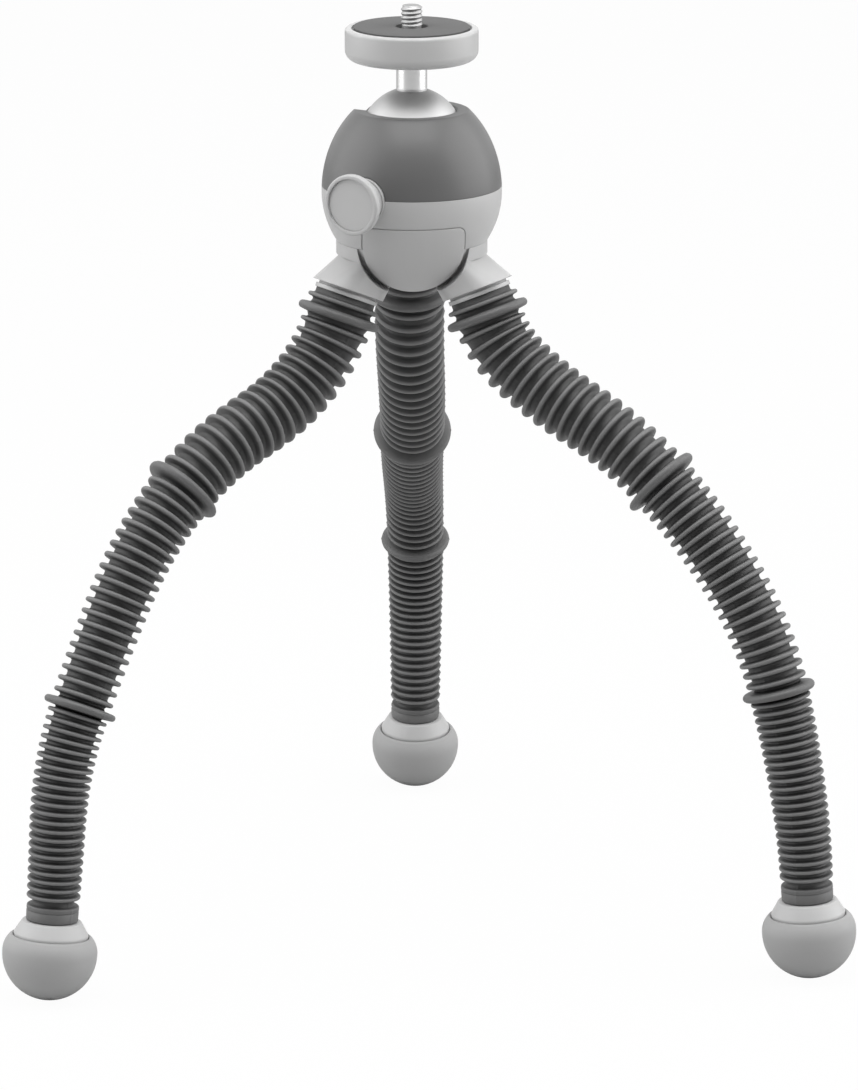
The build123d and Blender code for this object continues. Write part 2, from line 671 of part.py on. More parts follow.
def foot_collar(leg):
    """The light ring between the skin and the foot."""
    low, high = FOOT_ABOVE - FOOT_COLLAR_SUNK, FOOT_ABOVE + FOOT_COLLAR_HEIGHT
    corners = [
        (CORE_RADIUS, low),
        (FOOT_COLLAR_RADIUS, low),
        (FOOT_COLLAR_RADIUS, FOOT_ABOVE + FOOT_COLLAR_EDGE),
        (FOOT_COLLAR_TOP_RADIUS, high),
        (CORE_RADIUS, high),
    ]
    ring = revolve(Plane.XZ * face_within(Polyline(*corners, close=True)), Axis.Z)
    return foot_frame(leg) * ring


def leg_parts(leg):
    """Every piece of one leg under its name."""
    zones = [bend_zone(third) for third in RIBS]
    hip_bend, knee_bend, ankle_bend = BENDS
    core_end = FOOT_MIDDLE - FOOT_ABOVE + FOOT_CORE_DEPTH
    upper = knuckle_core(leg, hip_bend - CUP_LIP, knee_bend)
    middle = knuckle_core(leg, knee_bend - CUP_LIP, ankle_bend)
    lower = tube(leg, core_steps(ankle_bend - CUP_LIP, core_end, CORE_RADIUS))
    parts = {
        "root_sleeve": sleeve(leg, FLANGE_THICKNESS, zones[0][0]),
        "hip_bend": sleeve(leg, *zones[0]),
        "upper_sleeve": sleeve(leg, zones[0][1], zones[1][0]),
        "knee_bend": sleeve(leg, *zones[1]),
        "middle_sleeve": sleeve(leg, zones[1][1], zones[2][0]),
        "ankle_bend": sleeve(leg, *zones[2]),
        "lower_sleeve": lower_sleeve(leg, zones[2][1]),
        "root_core": knuckle_core(leg, -CORE_ROOT_DEPTH, hip_bend),
        "upper_core": upper - cup_space(leg, hip_bend),
        "middle_core": middle - cup_space(leg, knee_bend),
        "lower_core": lower - cup_space(leg, ankle_bend),
        "foot_collar": foot_collar(leg),
        "foot": foot(leg),
    }
    return {f"leg_{leg.name}_{part}": shape for part, shape in parts.items()}


def head_parts():
    """Every piece of the head and the hub under its name."""
    return {
        "camera_screw": camera_screw(),
        "platform_pad": platform_pad(),
        "platform_disc": platform_disc(),
        "ball": ball(),
        "upper_cap": upper_cap(),
        "lower_housing": lower_housing(),
        "housing_screws": housing_screws(),
        "front_cover": front_cover(),
        "ball_seat": ball_seat(),
        "seat_spring": seat_spring(),
        "clamp_shoe": clamp_shoe(),
        "knob_stud": knob_stud(),
        "knob": knob(),
        "knob_inlay": knob_inlay(),
        "leg_hub": leg_hub(),
        "hub_bolt": hub_bolt(),
        "hub_washer": hub_washer(),
        "base_cap": base_cap(),
    }


def all_parts():
    parts = head_parts()
    for leg in LEGS.values():
        parts.update(leg_parts(leg))
    return parts


def main():
    os.makedirs("parts", exist_ok=True)
    for name, shape in all_parts().items():
        export_step(STANDING * shape, f"parts/{name}.step")
    print("height to the screw's tip", round(HEAD_ABOVE_FLOOR + PAD_TOP + SCREW_PROUD, 2))


main()
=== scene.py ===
# %% [markdown]
# # A flexible leg tripod
# The tripod has three bendable rubber legs, a round plastic head and a metal ball that carries
# the camera platform. The moving model is loaded first and stays as it is. This notebook gives
# it its looks: finely ribbed legs, turned and moulded pieces with rounded edges, and finishes
# that are worked out by nodes.

# %% Load the moving model
import json
import math
import bmesh
import bpy
from mathutils import Matrix, Vector


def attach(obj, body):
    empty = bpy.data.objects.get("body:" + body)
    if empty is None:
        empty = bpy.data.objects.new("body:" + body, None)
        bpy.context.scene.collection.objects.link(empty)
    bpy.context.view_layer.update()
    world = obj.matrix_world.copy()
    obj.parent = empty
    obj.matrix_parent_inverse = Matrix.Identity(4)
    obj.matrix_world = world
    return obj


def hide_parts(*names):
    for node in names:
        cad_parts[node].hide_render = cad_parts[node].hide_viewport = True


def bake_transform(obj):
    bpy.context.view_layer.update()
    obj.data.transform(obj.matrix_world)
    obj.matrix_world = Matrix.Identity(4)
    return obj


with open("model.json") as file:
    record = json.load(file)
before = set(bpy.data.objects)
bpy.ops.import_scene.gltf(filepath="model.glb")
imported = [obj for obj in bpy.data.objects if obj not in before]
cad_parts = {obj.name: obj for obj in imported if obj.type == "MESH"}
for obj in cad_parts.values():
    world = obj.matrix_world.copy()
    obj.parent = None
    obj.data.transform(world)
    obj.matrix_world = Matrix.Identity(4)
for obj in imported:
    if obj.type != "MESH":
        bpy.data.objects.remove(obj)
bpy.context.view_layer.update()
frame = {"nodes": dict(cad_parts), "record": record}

MM = 0.001
record = frame["record"]

# %% [markdown]
# ## The camera
# The photograph looks down a little with a long lens. Its place was found by fitting the feet,
# the rings and the head, so the camera is given by its place, its direction and its lens.

# %% Place the camera
HEAD_X, HEAD_Y = -3.791, -29.288
HEAD_Z = 226.124
TURN = math.radians(-1.5)
PITCH, YAW = math.radians(14.685), math.radians(0.157)
CAMERA_AWAY, CAMERA_UP = 1871.5, 607.2
FOCAL_PIXELS, PHOTO_HEIGHT = 6398.7, 1090


def turned(x, y, z):
    """A direction seen from the photograph's side, in the object's own frame."""
    across = x * math.cos(TURN) - y * math.sin(TURN)
    deep = x * math.sin(TURN) + y * math.cos(TURN)
    return Vector((across, deep, z))


ahead = turned(math.sin(YAW) * math.cos(PITCH), math.cos(YAW) * math.cos(PITCH), -math.sin(PITCH))
right = turned(math.cos(YAW), -math.sin(YAW), 0)
up = right.cross(ahead)
lens = bpy.data.cameras.new("photo_camera")
lens.sensor_fit = "VERTICAL"
lens.sensor_height = 24
lens.lens = FOCAL_PIXELS / PHOTO_HEIGHT * lens.sensor_height
lens.clip_end = 50
camera = bpy.data.objects.new("photo_camera", lens)
bpy.context.scene.collection.objects.link(camera)
spot = Vector((HEAD_X, HEAD_Y, 0)) + turned(0, -CAMERA_AWAY, CAMERA_UP)
facing = Matrix((right, up, -ahead)).transposed().to_4x4()
camera.matrix_world = Matrix.Translation(spot * MM) @ facing
bpy.context.scene.camera = camera
bpy.context.scene.view_settings.view_transform = "Standard"
print("camera at", [round(c, 3) for c in camera.location])

# %% [markdown]
# ## Node helpers
# A finish is a small program of nodes. Writing its maths as plain expressions keeps it short, so
# one class wraps a socket and lets Python's operators add the Math nodes. One method adds every
# other kind of node: its settings first, then the values or links of its sockets.


# %% Sums of sockets
class Value:
    """An output socket that can be used in sums."""

    def __init__(self, finish, socket):
        self.finish = finish
        self.socket = socket

    def sum(self, operation, first, second):
        """Adds a Math node."""
        settings = {"operation": operation}
        return self.finish.add("ShaderNodeMath", settings, {0: first, 1: second})

    def __add__(self, other):
        return self.sum("ADD", self, other)

    def __radd__(self, other):
        return self.sum("ADD", other, self)

    def __sub__(self, other):
        return self.sum("SUBTRACT", self, other)

    def __rsub__(self, other):
        return self.sum("SUBTRACT", other, self)

    def __mul__(self, other):
        return self.sum("MULTIPLY", self, other)

    def __rmul__(self, other):
        return self.sum("MULTIPLY", other, self)

    def __truediv__(self, other):
        return self.sum("DIVIDE", self, other)

    def clamped(self):
        """The value, kept between 0 and 1."""
        return self.sum("MINIMUM", self.sum("MAXIMUM", self, 0.0), 1.0)


# %% A finish and its nodes
class Finish:
    """The nodes of a material or a world, with one way to add them."""

    def __init__(self, name, world=None):
        self.material = world or bpy.data.materials.new(name)
        self.material.use_nodes = True
        self.tree = self.material.node_tree
        self.tree.nodes.clear()

    def add(self, kind, settings=None, inputs=None, output=0):
        """Adds a node and gives back one of its outputs."""
        node = self.tree.nodes.new(kind)
        for key, value in (settings or {}).items():
            setattr(node, key, value)
        for key, value in (inputs or {}).items():
            if isinstance(value, Value):
                self.tree.links.new(value.socket, node.inputs[key])
            else:
                node.inputs[key].default_value = value
        return Value(self, node.outputs[output]) if len(node.outputs) else None

    def place(self):
        """Where a point of the surface is, in metres."""
        return self.add("ShaderNodeTexCoord", output="Object")

    def noise(self, scale, detail=2.0, roughness=0.5, vector=None, stretch=None):
        """Noise of a size, about 0.5 on average."""
        where = vector or self.place()
        if stretch:
            where = self.add("ShaderNodeMapping", {}, {"Vector": where, "Scale": stretch})
        inputs = {"Vector": where, "Scale": scale, "Detail": detail, "Roughness": roughness}
        return self.add("ShaderNodeTexNoise", {}, inputs, "Fac")

    def grey(self, dark, light, factor):
        """A grey between two greys."""
        return self.mix(factor, (*[dark] * 3, 1), (*[light] * 3, 1))

    def mix(self, factor, first, second):
        """A Mix node for colours. Its colour sockets come after those for numbers."""
        inputs = {0: factor, 6: first, 7: second}
        return self.add("ShaderNodeMix", {"data_type": "RGBA"}, inputs, 2)

    def bump(self, height, distance, strength, normal=None):
        """A normal with fine bumps, over one that is given if any."""
        inputs = {"Height": height, "Distance": distance, "Strength": strength}
        if normal:
            inputs["Normal"] = normal
        return self.add("ShaderNodeBump", {}, inputs)

    def surface(self, **inputs):
        """Ends the finish in a Principled shader."""
        named = {key.replace("_", " "): value for key, value in inputs.items()}
        shader = self.add("ShaderNodeBsdfPrincipled", {}, named)
        self.add("ShaderNodeOutputMaterial", {}, {"Surface": shader})
        return self.material


# %% [markdown]
# ## Floor, background and light
# The photograph was taken in a white tent: a white ground with no horizon, broad soft light from
# both sides and from above, and a darker strip where the camera stood. The floor is a plain pale
# sheet that looks white to the camera and still takes a faint shadow.

# %% Lay the floor
paper = Finish("studio_paper")
seen = paper.add("ShaderNodeLightPath", output="Is Camera Ray")
paper_cloud = paper.noise(3.0, 2.0)
matt = paper.add("ShaderNodeBsdfDiffuse", {}, {"Color": paper.grey(0.58, 0.61, paper_cloud)})
glow = paper.add("ShaderNodeEmission", {}, {"Color": (1, 1, 1, 1), "Strength": 1.0})
both = paper.add("ShaderNodeMixShader", {}, {0: seen * 0.97, 1: matt, 2: glow})
paper.add("ShaderNodeOutputMaterial", {}, {"Surface": both})
sheet = bpy.data.meshes.new("floor")
FLOOR_HALF = 4.0
corners = [(x * FLOOR_HALF, y * FLOOR_HALF, 0) for x, y in ((-1, -1), (1, -1), (1, 1), (-1, 1))]
sheet.from_pydata(corners, [], [(0, 1, 2, 3)])
floor = bpy.data.objects.new("floor", sheet)
sheet.materials.append(paper.material)
bpy.context.scene.collection.objects.link(floor)
print("floor laid,", 2 * FLOOR_HALF, "m wide")


# %% Light the tent
world = bpy.data.worlds.new("white_tent")
bpy.context.scene.world = world
tent = Finish("white_tent", world)
direct = tent.add("ShaderNodeLightPath", output="Is Camera Ray")
mirror = tent.add("ShaderNodeLightPath", output="Is Glossy Ray")
through = tent.add("ShaderNodeLightPath", output="Is Transmission Ray")
direction = tent.add("ShaderNodeTexCoord", output="Generated")
toward = tent.add("ShaderNodeSeparateXYZ", {}, {"Vector": direction}, "Y")
upward = tent.add("ShaderNodeSeparateXYZ", {}, {"Vector": direction}, "Z")
front = ((toward * -1.0 - 0.2) / 0.8).clamped()
shine = 0.95 - front * 0.85
soft = 0.4 - front * 0.36 + upward.clamped() * 0.18
others = 1.0 - (direct + through + mirror).clamped()
strength = direct + through + mirror * shine + others * soft
background = tent.add("ShaderNodeBackground", {}, {"Color": (1, 1, 1, 1), "Strength": strength})
tent.add("ShaderNodeOutputWorld", {}, {"Surface": background})


def soft_box(name, place, size, power):
    """A square lamp that faces the tripod."""
    data = bpy.data.lights.new(name, "AREA")
    data.shape = "SQUARE"
    data.size = size
    data.energy = power
    lamp = bpy.data.objects.new(name, data)
    lamp.location = place
    target = Vector((0, 0, 0.16))
    lamp.rotation_euler = (target - Vector(place)).to_track_quat("-Z", "Y").to_euler()
    bpy.context.scene.collection.objects.link(lamp)
    return lamp


soft_box("left_box", (-1.25, -0.02, 0.65), 1.6, 12.5)
soft_box("right_box", (1.25, -0.02, 0.65), 1.6, 15.5)
soft_box("top_box", (0.0, -0.28, 1.4), 1.2, 17)

# %% [markdown]
# ## Finishes
# The head is moulded plastic: a dark cap and a light housing, both with the fine even grain that
# an eroded mould leaves. The platform's paint has a finer grain of the same kind. The ball is
# satin turned metal, and its stem is polished. The legs are soft rubber, painted dark in the
# grooves as painted shade and lighter on the rims of the ribs as painted light, and the feet are a
# paler rubber.


# %% Moulded plastics
def moulded_plastic(name, dark, light, roughness, grain=0.00003):
    """Plastic with a fine moulded grain and slow changes of tone."""
    finish = Finish(name)
    cloud = finish.noise(38.0, 3.0)
    fine = finish.noise(3200.0, 2.0)
    tone = finish.grey(dark, light, cloud)
    rough = roughness + (fine - 0.5) * 0.12
    soft_edge = finish.add("ShaderNodeBevel", {"samples": 6}, {"Radius": 0.5 * MM})
    normal = finish.bump(fine, grain, 0.5, soft_edge)
    return finish.surface(Base_Color=tone, Roughness=rough, Normal=normal, IOR=1.46)


dark_plastic = moulded_plastic("cap_plastic", 0.105, 0.12, 0.38)
light_plastic = moulded_plastic("light_plastic", 0.42, 0.45, 0.42)
platform_finish = moulded_plastic("platform_metal", 0.43, 0.46, 0.34, 0.00002)
print("plastics:", dark_plastic.name, light_plastic.name, platform_finish.name)


# %% Metals
def turned_metal(name, tone, roughness, stem_roughness=None, stem_above=0.0):
    """Metal with the faint rings that turning leaves, and a smoother stem above a height."""
    finish = Finish(name)
    place = finish.place()
    height = finish.add("ShaderNodeSeparateXYZ", {}, {"Vector": place}, "Z")
    rings = finish.noise(1.0, 2.0, 0.5, place, (20.0, 20.0, 9000.0))
    blotch = finish.noise(60.0, 2.0)
    tone_node = finish.grey(tone * 0.93, tone * 1.05, blotch)
    rough = roughness + (rings - 0.5) * 0.1
    if stem_roughness is not None:
        on_stem = ((height - stem_above) * 1500.0).clamped()
        rough = rough * (1.0 - on_stem) + on_stem * stem_roughness
        tone_node = finish.mix(on_stem, tone_node, (0.86, 0.86, 0.86, 1))
    normal = finish.bump(rings, 0.00001, 0.35)
    return finish.surface(Base_Color=tone_node, Roughness=rough, Metallic=1.0, Normal=normal)


BALL_HEIGHT, BALL_RADIUS = 15.6, 15.5
stem_foot = (HEAD_Z + BALL_HEIGHT + BALL_RADIUS - 0.3) * MM
ball_metal = turned_metal("ball_metal", 0.53, 0.55, 0.1, stem_foot)
screw_steel = turned_metal("screw_steel", 0.42, 0.5)
core_metal = turned_metal("core_metal", 0.6, 0.3)
print("metals:", ball_metal.name, screw_steel.name, core_metal.name)


# %% Rubbers
def rubber(name, dark, light, roughness, edge=0.0):
    """Rubber with a dull skin. If an edge tone is given, the colour is painted lighter where the
    attribute called edge is high: painted light on the rims of ribs, while the dark tone stands
    for painted shade in the grooves.
    """
    finish = Finish(name)
    cloud = finish.noise(70.0, 4.0, 0.6)
    fine = finish.noise(4200.0, 2.0)
    tone = finish.grey(dark, light, cloud)
    if edge:
        # Painted light: the rims are mixed towards the lighter edge tone, and the grooves keep the
        # dark tone as painted shade.
        rim_light_share = finish.add("ShaderNodeAttribute", {"attribute_name": "edge"}, output="Fac")
        tone = finish.mix(rim_light_share * (0.7 + cloud * 0.5), tone, (edge, edge, edge, 1))
    rough = roughness + (fine - 0.5) * 0.16
    normal = finish.bump(fine, 0.00003, 0.5)
    return finish.surface(Base_Color=tone, Roughness=rough, Normal=normal, IOR=1.5)


# The leg rubber's dark tone is painted shade for the deep grooves, and its edge tone is painted
# light on the rims of the ribs.
leg_rubber = rubber("leg_rubber", 0.03, 0.043, 0.52, 0.145)
foot_rubber = rubber("foot_rubber", 0.31, 0.34, 0.62)
pad_rubber = rubber("pad_rubber", 0.085, 0.1, 0.9)
print("rubbers:", leg_rubber.name, foot_rubber.name, pad_rubber.name)

# %% Dress the pieces of the moving model
LOOKS = {
    "cap_plastic": dark_plastic,
    "light_plastic": light_plastic,
    "platform_metal": platform_finish,
    "ball_metal": ball_metal,
    "core_metal": core_metal,
    "screw_steel": screw_steel,
    "pad_rubber": pad_rubber,
    "leg_rubber": leg_rubber,
    "foot_rubber": foot_rubber,
}
for entry in record["subparts"]:
    node = frame["nodes"][entry["node"]]
    node.data.materials.clear()
    node.data.materials.append(LOOKS[entry["material_slot"]])
print("dressed", len(record["subparts"]), "pieces")

# %% [markdown]
# ## The line of a leg
# Each leg is one curve in space: it leaves its hip square, leans outwards, then swings back to
# stand almost upright on its foot. The curve is stepped along from its lean, which is known at a
# few places, exactly as in the solid model, so the skins lie where the model's legs lie.

# %% Leg sizes
LEG_END, FOOT_MIDDLE = 217.1, 226.5
HIP_REACH, HIP_DROP = 22.6, 28.5
HIPS = {"rear": 90.0, "left": 210.0, "right": 330.0}
HEADINGS = {
    "rear": (85.7, 89.2, 86.0, 90.8),
    "left": (215.9, 214.4, 220.3, 227.1),
    "right": (331.1, 332.5, 331.0, 330.9),
}
HEADING_SHARES = (0.04, 0.16, 0.36, 0.60, 0.93)
LEANS = {
    "rear": (17.0, 32.3, 46.3, 50.4, 56.1, 22.0, 4.6, 7.6),
    "left": (19.7, 40.5, 70.3, 48.0, 28.5, 26.2, 4.6, 6.6),
    "right": (19.0, 51.2, 64.8, 47.0, 35.0, 14.9, 9.3, 3.4),
}
BENDS_MORE = {"rear": 1.00725634, "left": 1.0, "right": 1.00098073}
LEAN_SHARES = (0.04, 0.10, 0.22, 0.36, 0.52, 0.68, 0.83, 0.93)
SMOOTHING_SHARE, STEPS = 0.042, 480
RING_PLACES, RING_RADII, RING_HALVES = (7.5, 81.5, 153.2), (12.6, 12.1, 10.9), (1.25, 1.15, 1.05)
SKIN_START, COLLAR_START = 1.2, 212.2
# The rib above the first ring: its place, its half width and its radius.
TOP_RIB = (3.7, 0.62, 10.9)
RIB_COUNTS, RIB_HALVES = (17, 20, 22), (0.72, 0.68, 0.56)
STOPS, RIB_RADII = (*RING_PLACES, COLLAR_START), (10.7, 10.05, 9.05, 7.9)
GROOVE_STOPS, GROOVE_RADII = (RING_PLACES[0], 20.0, *STOPS[1:]), (9.1, 8.2, 7.6, 6.9, 6.2)


def between(place, stops, values):
    """The value at a place between stops."""
    if place <= stops[0]:
        return values[0]
    for a, b, low, high in zip(stops, stops[1:], values, values[1:]):
        if place <= b:
            return low + (high - low) * (place - a) / (b - a)
    return values[-1]


# %% Step along the leg
class LegLine:
    """The middle line of a leg, in millimetres, in the object's frame."""

    def __init__(self, name):
        self.name = name
        self.step = FOOT_MIDDLE / STEPS
        hip = math.radians(HIPS[name])
        start = Vector((HEAD_X, HEAD_Y, HEAD_Z - HIP_DROP))
        self.points = [start + Vector((math.cos(hip), math.sin(hip), 0)) * HIP_REACH]
        for n in range(STEPS):
            self.points.append(self.points[-1] + self.along((n + 0.5) * self.step) * self.step)

    def smooth(self, place, shares, values):
        """A value at a place, averaged over a short stretch."""
        stops = [FOOT_MIDDLE * share for share in shares]
        inside = min(max(place, stops[0]), FOOT_MIDDLE * LEAN_SHARES[-1])
        reach = FOOT_MIDDLE * SMOOTHING_SHARE
        steps = [n / 4 for n in range(-4, 5)]
        weights = [1.25 - abs(step) for step in steps]
        near = [between(inside + reach * step, stops, values) for step in steps]
        return sum(w * v for w, v in zip(weights, near)) / sum(weights)

    def lean(self, place):
        """How far the leg leans from upright at a place."""
        lean = self.smooth(place, LEAN_SHARES, LEANS[self.name])
        return math.radians(lean * BENDS_MORE[self.name])

    def heading(self, place):
        """The compass direction that the leg leans to at a place."""
        directions = (HIPS[self.name], *HEADINGS[self.name])
        return math.radians(self.smooth(place, HEADING_SHARES, directions))

    def along(self, place):
        """The direction of the leg at a place."""
        lean, heading = self.lean(place), self.heading(place)
        level = Vector((math.cos(heading), math.sin(heading), 0))
        return level * math.sin(lean) - Vector((0, 0, 1)) * math.cos(lean)

    def point(self, place):
        """The point at a place, which may lie beyond the ends of the line."""
        if place < 0:
            return self.points[0] + self.along(0) * place
        if place >= FOOT_MIDDLE:
            return self.points[-1] + self.along(FOOT_MIDDLE) * (place - FOOT_MIDDLE)
        count = int(place / self.step)
        share = place / self.step - count
        return self.points[count].lerp(self.points[count + 1], share)

    def frame_at(self, place):
        """The point, the level direction across the leg, and the direction across that."""
        heading, along = self.heading(place), self.along(place)
        level = Vector((math.sin(heading), -math.cos(heading), 0))
        return self.point(place), level, along.cross(level)


LINES = {name: LegLine(name) for name in HIPS}
for name, line in LINES.items():
    print(name, "foot middle at", [round(c, 1) for c in line.points[-1]])

# %% [markdown]
# ## Rounded outlines and turned surfaces
# Turned and moulded pieces get their quality from their edges. A helper rounds the corners of an
# outline with arcs, and another spins an outline round a line, straight or bent.


# %% Outline helpers
def rounded(corners, turns=5):
    """An outline whose corners, given as along, radius and rounding, are made round."""
    points = []
    for n, (x, y, size) in enumerate(corners):
        here = Vector((x, y))
        if size == 0 or n in (0, len(corners) - 1):
            points.append((x, y))
            continue
        before = Vector(corners[n - 1][:2]) - here
        after = Vector(corners[n + 1][:2]) - here
        half = before.angle(after) / 2
        cut = min(size / math.tan(half), before.length * 0.49, after.length * 0.49)
        a, b = here + before.normalized() * cut, here + after.normalized() * cut
        reach = cut * math.tan(half)
        inward = (before.normalized() + after.normalized()).normalized()
        middle = here + inward * (cut / math.cos(half))
        start, end = a - middle, b - middle
        turn = start.angle_signed(end)
        for k in range(turns + 1):
            arm = start.copy()
            arm.rotate(Matrix.Rotation(-turn * k / turns, 2))
            points.append(tuple(middle + arm.normalized() * reach))
    return points


def mesh_piece(name, points, faces, material, edges=None):
    """A mesh from points in millimetres, shaded smooth."""
    data = bpy.data.meshes.new(name)
    data.from_pydata([tuple(p * MM for p in point) for point in points], [], faces)
    data.validate()
    shape = bmesh.new()
    shape.from_mesh(data)
    bmesh.ops.recalc_face_normals(shape, faces=shape.faces)
    shape.to_mesh(data)
    shape.free()
    data.polygons.foreach_set("use_smooth", [True] * len(data.polygons))
    if edges:
        attribute = data.attributes.new("edge", "FLOAT", "POINT")
        attribute.data.foreach_set("value", edges)
    data.materials.append(material)
    piece = bpy.data.objects.new(name, data)
    bpy.context.scene.collection.objects.link(piece)
    return piece


def spin(outline, place_at, sides=72, angles=None, ridge=None):
    """Rings of points for an outline of along and radius, and the faces between them."""
    turns = angles or [2 * math.pi * k / sides for k in range(sides)]
    count = len(turns)
    points, faces = [], []
    for along, radius in outline:
        centre, across, over = place_at(along)
        for turn in turns:
            out = radius + ridge(turn) if ridge else radius
            points.append(centre + across * (out * math.cos(turn)) + over * (out * math.sin(turn)))
    for row in range(len(outline) - 1):
        for k in range(count):
            a, b = row * count + k, row * count + (k + 1) % count
            faces.append((a, a + count, b + count, b))
    return points, faces


# %% [markdown]
# ## The ribbed skins
# A leg's skin is one soft moulding with thin rounded ribs, three fat rings and an end collar. It
# could be a stack of discs, but the real one is a single surface, so its outline runs in and out
# over every rib and is spun round the leg's line. Each skin is made in three lengths, one for each
# bend, that meet in grooves.

# %% The outline of the ribs
RIBS = []
for start, end, count in zip(RING_PLACES, (*RING_PLACES[1:], COLLAR_START), RIB_COUNTS):
    pitch = (end - start) / (count + 1)
    RIBS.append([start + pitch * (n + 1) for n in range(count)])


def groove_radius(place):
    """The radius of the grooves, which are shallow at the hip and deeper down the leg."""
    return between(place, GROOVE_STOPS, GROOVE_RADII)


def bump_outline(place, half, radius, groove):
    """One rib or ring: a foot that flares from the groove, flat flanks and a round edge."""
    points = [(place - half * 1.75, groove), (place - half * 1.2, groove + 0.35)]
    round_size = half * 0.96
    for k in range(7):
        turn = math.pi * k / 6
        out = radius - round_size + round_size * math.sin(turn)
        points.append((place - half * math.cos(turn), out))
    points += [(place + half * 1.2, groove + 0.35), (place + half * 1.75, groove)]
    return points


def skin_outline(start, end):
    """The skin's outline between two places, as points of along and radius."""
    items = [TOP_RIB]
    for n, third in enumerate(RIBS):
        items.append((RING_PLACES[n], RING_HALVES[n], RING_RADII[n]))
        items += [(p, RIB_HALVES[n], between(p, STOPS, RIB_RADII)) for p in third]
    outline = [(start, groove_radius(start))]
    for place, half, radius in items:
        if start < place < end:
            outline += bump_outline(place, half, radius, groove_radius(place))
    return outline


def painted_rim_light(outline):
    """How much painted light each point gets: full on the rims of the ribs, less on the fat rings,
    and none in the grooves, which keep the painted shade.
    """
    shares = []
    for place, radius in outline:
        groove, rim = groove_radius(place), between(place, STOPS, RIB_RADII)
        share = min(max((radius - groove) / (rim - groove), 0), 1) ** 3
        shares.append(share * (0.6 if radius > rim + 0.3 else 1.0))
    return shares


print("ribs on each leg:", sum(len(third) for third in RIBS) + 1, "and rings:", len(RING_PLACES))

# %% Make the skins
SEAM_HALF, SEAM_HEIGHT = math.radians(2.2), 0.14
SEAM_SIDES = [SEAM_HALF, math.pi - SEAM_HALF, math.pi + SEAM_HALF, 2 * math.pi - SEAM_HALF]
ROUND = sorted([2 * math.pi * k / 60 for k in range(60)] + SEAM_SIDES)
CUTS = [(RIBS[n][-1] + RING_PLACES[n + 1]) / 2 for n in (0, 1)]
SKIN_ENDS = (SKIN_START, *CUTS, LEG_END)
COLLAR = rounded(
    [
        (COLLAR_START, 6.2, 0),
        (COLLAR_START + 0.15, 7.7, 0.5),
        (COLLAR_START + 1.4, 7.72, 0),
        (COLLAR_START + 1.7, 7.5, 0.15),
        (COLLAR_START + 2.0, 7.72, 0),
        (LEG_END - 0.1, 7.65, 0.4),
        (LEG_END - 0.1, 6.6, 0),
    ]
)
THIRDS = (
    ("upper", "hub", "upper", ("root_sleeve", "hip_bend", "upper_sleeve")),
    ("middle", "upper", "middle", ("knee_bend", "middle_sleeve")),
    ("lower", "middle", "lower", ("ankle_bend", "lower_sleeve")),
)


def seam(turn):
    """How far the mould's seam stands out on both sides of a leg."""
    return SEAM_HEIGHT if abs(math.sin(turn)) < 0.001 else 0.0


skins = {}
for leg_name, line in LINES.items():
    for n, (part, body_a, body_b, nodes) in enumerate(THIRDS):
        outline = skin_outline(SKIN_ENDS[n], SKIN_ENDS[n + 1])
        if n == 2:
            outline += COLLAR
        else:
            outline.append((SKIN_ENDS[n + 1], groove_radius(SKIN_ENDS[n + 1])))
        points, faces = spin(outline, line.frame_at, angles=ROUND, ridge=seam)
        # The painted light of each point, kept in the attribute called edge.
        edges = [share for share in painted_rim_light(outline) for _ in ROUND]
        piece = mesh_piece(f"leg_{leg_name}_{part}_skin", points, faces, leg_rubber, edges)
        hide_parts(*[f"leg_{leg_name}_{node}" for node in nodes])
        # The points of the groove after the first rib and of the groove after the fourth, the ends
        # of the bend, are worked out, but nothing here uses them.
        zone = [(RIBS[n][k] + RIBS[n][k + 1]) / 2 for k in (0, 3)]
        zone_start, zone_end = (line.point(place) * MM for place in zone)
        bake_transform(piece)
        skins[piece.name] = len(points)
print("skins:", skins)

# %% [markdown]
# ## The feet
# A foot is a heavy round cup of rubber. Its mouth has a soft lip that holds a light collar, and
# the collar is a low cone with a rounded shoulder.

# %% Make the feet and their collars
FOOT = []
FOOT_RADIUS, BOWL_MIDDLE = 14.0, -0.5
for k in range(19):
    turn = math.pi / 2 * k / 18
    FOOT.append((BOWL_MIDDLE - FOOT_RADIUS * math.cos(turn), FOOT_RADIUS * math.sin(turn)))
SHOULDER, SHOULDER_OUT, SHOULDER_TURN = 6.536, 7.464, 0.74
for k in range(9):
    turn = SHOULDER_TURN * k / 8
    FOOT.append((SHOULDER * math.sin(turn), SHOULDER_OUT + SHOULDER * math.cos(turn)))
FOOT += rounded([(4.45, 12.26, 0), (4.98, 11.6, 0.55), (4.6, 11.12, 0.3), (3.6, 11.05, 0)])
FOOT_COLLAR = rounded(
    [
        (3.6, 10.7, 0),
        (3.65, 10.95, 0.1),
        (5.5, 10.98, 0.9),
        (9.25, 8.75, 0.5),
        (9.35, 7.9, 0.1),
        (9.38, 6.0, 0),
    ]
)
for leg_name, line in LINES.items():
    centre, level, over = line.frame_at(FOOT_MIDDLE)
    along = line.along(FOOT_MIDDLE)

    def foot_place(height):
        """A place on the foot's own axis, above its middle."""
        return centre - along * height, level, over

    for part, outline, material, slot in (
        ("foot", FOOT, foot_rubber, "foot_rubber"),
        ("foot_collar", FOOT_COLLAR, light_plastic, "light_plastic"),
    ):
        points, faces = spin(outline, foot_place, 96)
        piece = mesh_piece(f"leg_{leg_name}_{part}_turned", points, faces, material)
        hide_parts(f"leg_{leg_name}_{part}")
        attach(piece, f"leg_{leg_name}_lower")
print("feet:", len(LINES))

# %% [markdown]
# ## The platform and its pad
# The platform is one turned disc with a shallow recess, and the rubber pad lies in it with a fine
# gap all round. A plain disc would lose that dark line, so both outlines are drawn with their
# gap and their soft corners and spun round the upright axis.

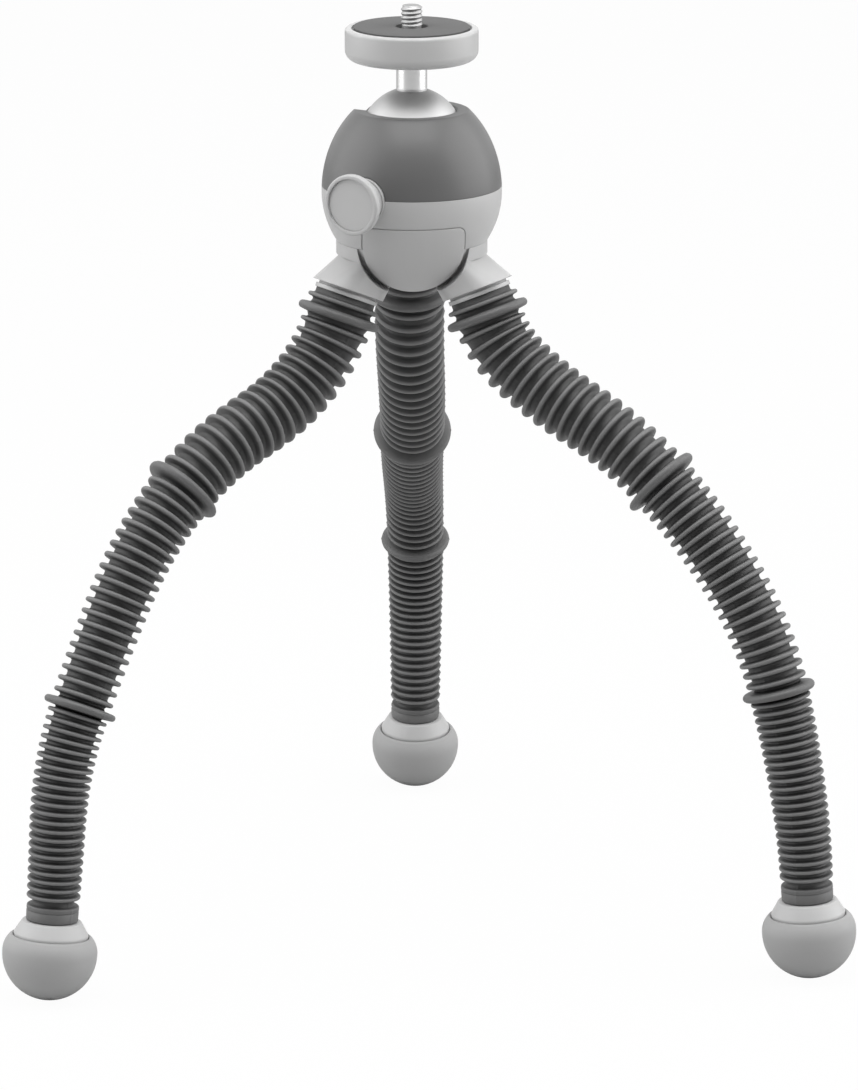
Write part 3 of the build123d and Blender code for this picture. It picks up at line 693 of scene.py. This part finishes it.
# %% Turn the platform and the pad
STEM_REACH, PLATFORM_HEIGHT = 23.7, 9.8
PLATFORM_LOW = HEAD_Z + BALL_HEIGHT + STEM_REACH
PLATFORM_TOP = PLATFORM_LOW + PLATFORM_HEIGHT
PLATFORM_RADIUS, PLATFORM_HOLE, PAD_PROUD, PAD_HOLE = 19.85, 2.9, 0.4, 4.7
RECESS_RADIUS, RECESS_DEPTH = 17.85, 1.1
PLATFORM = rounded(
    [
        (PLATFORM_LOW, PLATFORM_HOLE, 0),
        (PLATFORM_LOW, PLATFORM_RADIUS, 3.2),
        (PLATFORM_TOP, PLATFORM_RADIUS, 1.6),
        (PLATFORM_TOP, RECESS_RADIUS, 0.25),
        (PLATFORM_TOP - RECESS_DEPTH, RECESS_RADIUS, 0),
        (PLATFORM_TOP - RECESS_DEPTH, PLATFORM_HOLE, 0),
    ],
    8,
)
PAD = rounded(
    [
        (PLATFORM_TOP - RECESS_DEPTH, 17.2, 0),
        (PLATFORM_TOP + PAD_PROUD, 17.35, 0.3),
        (PLATFORM_TOP + PAD_PROUD, PAD_HOLE, 0.25),
        (PLATFORM_TOP - RECESS_DEPTH, PAD_HOLE, 0),
    ]
)


def upright(height):
    """A place on the head's upright axis."""
    return Vector((HEAD_X, HEAD_Y, height)), Vector((1, 0, 0)), Vector((0, 1, 0))


for part, outline, material, slot in (
    ("platform_disc", PLATFORM, platform_finish, "platform_metal"),
    ("platform_pad", PAD, pad_rubber, "pad_rubber"),
):
    points, faces = spin(outline, upright, 144)
    piece = mesh_piece(f"{part}_turned", points, faces, material)
    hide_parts(part)
    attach(piece, "platform")
    print(part, "points:", len(points))

# %% [markdown]
# ## The camera screw
# The screw is a standard camera thread. Its thread is a ridge that climbs one pitch in each turn,
# so the radius of every point follows from its height and its angle.

# %% Cut the thread
SCREW_RADIUS, SHANK_RADIUS, THREAD_DEPTH, THREAD_PITCH = 3.175, 2.9, 0.4, 1.27
PAD_TOP = PLATFORM_TOP + PAD_PROUD
SCREW_TOP, THREAD_LOW, SCREW_LOW = PAD_TOP + 6.3, PAD_TOP + 0.3, PAD_TOP - 9.0
TIP_LENGTH, TIP_SHARE = 0.8, 0.78


def thread_radius(height, turn):
    """The radius of the screw's surface at a height and an angle."""
    if height < THREAD_LOW:
        return SHANK_RADIUS
    phase = (height / THREAD_PITCH - turn / (2 * math.pi)) % 1.0
    ridge = (1 + math.cos(2 * math.pi * phase)) / 2
    radius = SCREW_RADIUS - THREAD_DEPTH * ridge
    below_tip = min(max((SCREW_TOP - height) / TIP_LENGTH, 0), 1)
    return radius * (TIP_SHARE + (1 - TIP_SHARE) * math.sqrt(below_tip))


rows, sides = 150, 48
points, faces = [], []
for row in range(rows + 1):
    height = SCREW_LOW + (SCREW_TOP - SCREW_LOW) * row / rows
    for k in range(sides):
        turn = 2 * math.pi * k / sides
        radius = thread_radius(height, turn)
        out = Vector((math.cos(turn), math.sin(turn), 0)) * radius
        points.append(Vector((HEAD_X, HEAD_Y, height)) + out)
for row in range(rows):
    for k in range(sides):
        a, b = row * sides + k, row * sides + (k + 1) % sides
        faces.append((a, b, b + sides, a + sides))
faces.append(tuple(range(rows * sides, rows * sides + sides)))
faces.append(tuple(reversed(range(sides))))
screw = mesh_piece("camera_screw_thread", points, faces, screw_steel)
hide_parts("camera_screw")
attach(screw, "platform")
print("thread turns:", round((SCREW_TOP - SCREW_LOW) / THREAD_PITCH, 1))
